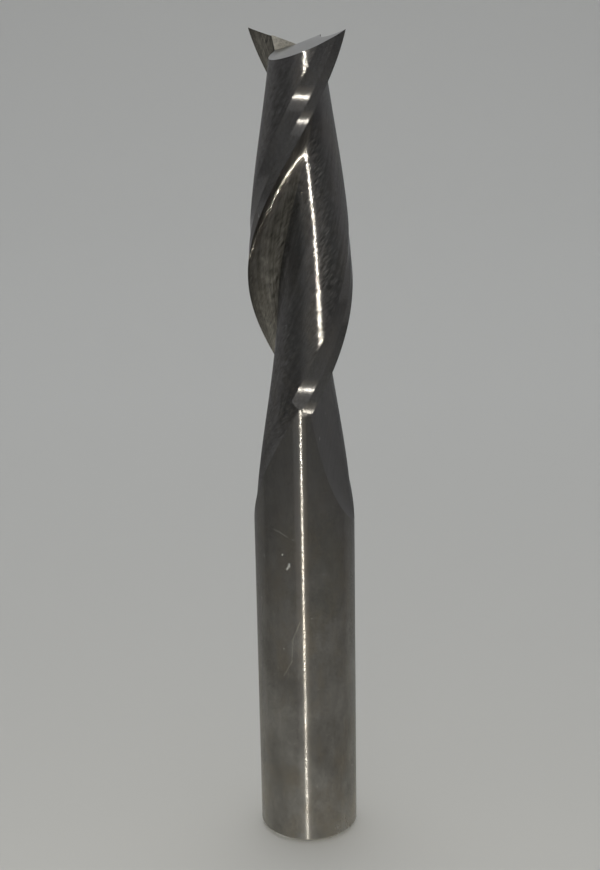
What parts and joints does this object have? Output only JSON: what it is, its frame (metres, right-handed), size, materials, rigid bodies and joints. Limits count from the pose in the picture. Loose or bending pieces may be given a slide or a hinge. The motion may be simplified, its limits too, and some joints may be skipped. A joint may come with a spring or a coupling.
{
  "type": "upcut router bit",
  "caption": "Solid ground-carbide spiral upcut router bit with a plain round shank, for a router or CNC spindle collet.",
  "frame": {"origin": "centre of the flat end of the shank", "axes": "+Z along the tool's axis from the shank towards the cutting end, +X through one cutting point at the very top"},
  "size_m": [0.0126, 0.0126, 0.1036],
  "materials": {
    "ground_carbide": "ground"
  },
  "bodies": {
    "root": {"router_bit": "ground_carbide"}
  },
  "joints": []
}
